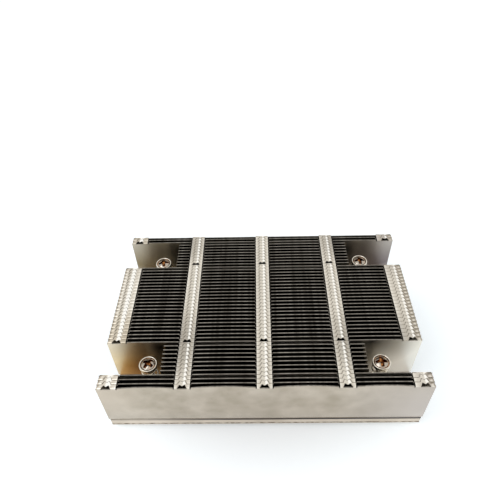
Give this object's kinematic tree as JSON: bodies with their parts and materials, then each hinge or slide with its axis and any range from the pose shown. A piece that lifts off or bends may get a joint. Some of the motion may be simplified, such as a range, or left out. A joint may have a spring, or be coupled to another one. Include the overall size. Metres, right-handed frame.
{
  "type": "passive server cpu heatsink",
  "caption": "Low passive server processor heatsink: folded sheet fins in locked stacks on a plate, with a sprung captive screw in a notch at each corner.",
  "frame": {"origin": "centre of the base plate's contact face", "axes": "+X along the fins, +Y from the front fin to the rear fin, +Z from the contact face up to the fin tops"},
  "size_m": [0.127, 0.0832, 0.0312],
  "materials": {
    "base_metal": "satin",
    "fin_metal": "satin",
    "screw_metal": "polished",
    "spring_metal": "gloss",
    "ring_metal": "satin"
  },
  "bodies": {
    "heatsink": {"base_plate": "base_metal", "front_fin_1": "fin_metal", "front_fin_2": "fin_metal", "front_fin_3": "fin_metal", "front_fin_4": "fin_metal", "front_short_fin_1": "fin_metal", "front_short_fin_2": "fin_metal", "front_short_fin_3": "fin_metal", "front_short_fin_4": "fin_metal", "front_short_fin_5": "fin_metal", "front_short_fin_6": "fin_metal", "front_short_fin_7": "fin_metal", "middle_fin_01": "fin_metal", "middle_fin_02": "fin_metal", "middle_fin_03": "fin_metal", "middle_fin_04": "fin_metal", "middle_fin_05": "fin_metal", "middle_fin_06": "fin_metal", "middle_fin_07": "fin_metal", "middle_fin_08": "fin_metal", "middle_fin_09": "fin_metal", "middle_fin_10": "fin_metal", "middle_fin_11": "fin_metal", "middle_fin_12": "fin_metal", "middle_fin_13": "fin_metal", "middle_fin_14": "fin_metal", "middle_fin_15": "fin_metal", "middle_fin_16": "fin_metal", "middle_fin_17": "fin_metal", "middle_fin_18": "fin_metal", "middle_fin_19": "fin_metal", "middle_fin_20": "fin_metal", "middle_fin_21": "fin_metal", "middle_fin_22": "fin_metal", "middle_fin_23": "fin_metal", "rear_short_fin_1": "fin_metal", "rear_short_fin_2": "fin_metal", "rear_short_fin_3": "fin_metal", "rear_short_fin_4": "fin_metal", "rear_short_fin_5": "fin_metal", "rear_short_fin_6": "fin_metal", "rear_short_fin_7": "fin_metal", "rear_short_fin_8": "fin_metal", "rear_fin_1": "fin_metal", "rear_fin_2": "fin_metal", "rear_fin_3": "fin_metal", "spring_front_left": "spring_metal", "spring_front_right": "spring_metal", "spring_rear_left": "spring_metal", "spring_rear_right": "spring_metal"},
    "retaining_ring_front_left": {"retaining_ring_front_left": "ring_metal"},
    "screw_front_left": {"screw_front_left": "screw_metal"},
    "retaining_ring_front_right": {"retaining_ring_front_right": "ring_metal"},
    "screw_front_right": {"screw_front_right": "screw_metal"},
    "retaining_ring_rear_left": {"retaining_ring_rear_left": "ring_metal"},
    "screw_rear_left": {"screw_rear_left": "screw_metal"},
    "retaining_ring_rear_right": {"retaining_ring_rear_right": "ring_metal"},
    "screw_rear_right": {"screw_rear_right": "screw_metal"}
  },
  "joints": [
    {"name": "screw_plunge_front_left", "type": "slide", "parent": "heatsink", "child": "retaining_ring_front_left", "axis": [0, 0, -1], "range_m": [0, 0.005], "stiffness_N_per_m": 2300, "springref_m": -0.003, "deforming": ["spring_front_left"]},
    {"name": "screw_turn_front_left", "type": "hinge", "parent": "retaining_ring_front_left", "child": "screw_front_left", "pos_m": [-0.047, -0.028, 0], "axis": [0, 0, -1], "continuous": true},
    {"name": "screw_plunge_front_right", "type": "slide", "parent": "heatsink", "child": "retaining_ring_front_right", "axis": [0, 0, -1], "range_m": [0, 0.005], "stiffness_N_per_m": 2300, "springref_m": -0.003, "deforming": ["spring_front_right"]},
    {"name": "screw_turn_front_right", "type": "hinge", "parent": "retaining_ring_front_right", "child": "screw_front_right", "pos_m": [0.047, -0.028, 0], "axis": [0, 0, -1], "continuous": true},
    {"name": "screw_plunge_rear_left", "type": "slide", "parent": "heatsink", "child": "retaining_ring_rear_left", "axis": [0, 0, -1], "range_m": [0, 0.005], "stiffness_N_per_m": 2300, "springref_m": -0.003, "deforming": ["spring_rear_left"]},
    {"name": "screw_turn_rear_left", "type": "hinge", "parent": "retaining_ring_rear_left", "child": "screw_rear_left", "pos_m": [-0.047, 0.028, 0], "axis": [0, 0, -1], "continuous": true},
    {"name": "screw_plunge_rear_right", "type": "slide", "parent": "heatsink", "child": "retaining_ring_rear_right", "axis": [0, 0, -1], "range_m": [0, 0.005], "stiffness_N_per_m": 2300, "springref_m": -0.003, "deforming": ["spring_rear_right"]},
    {"name": "screw_turn_rear_right", "type": "hinge", "parent": "retaining_ring_rear_right", "child": "screw_rear_right", "pos_m": [0.047, 0.028, 0], "axis": [0, 0, -1], "continuous": true}
  ]
}
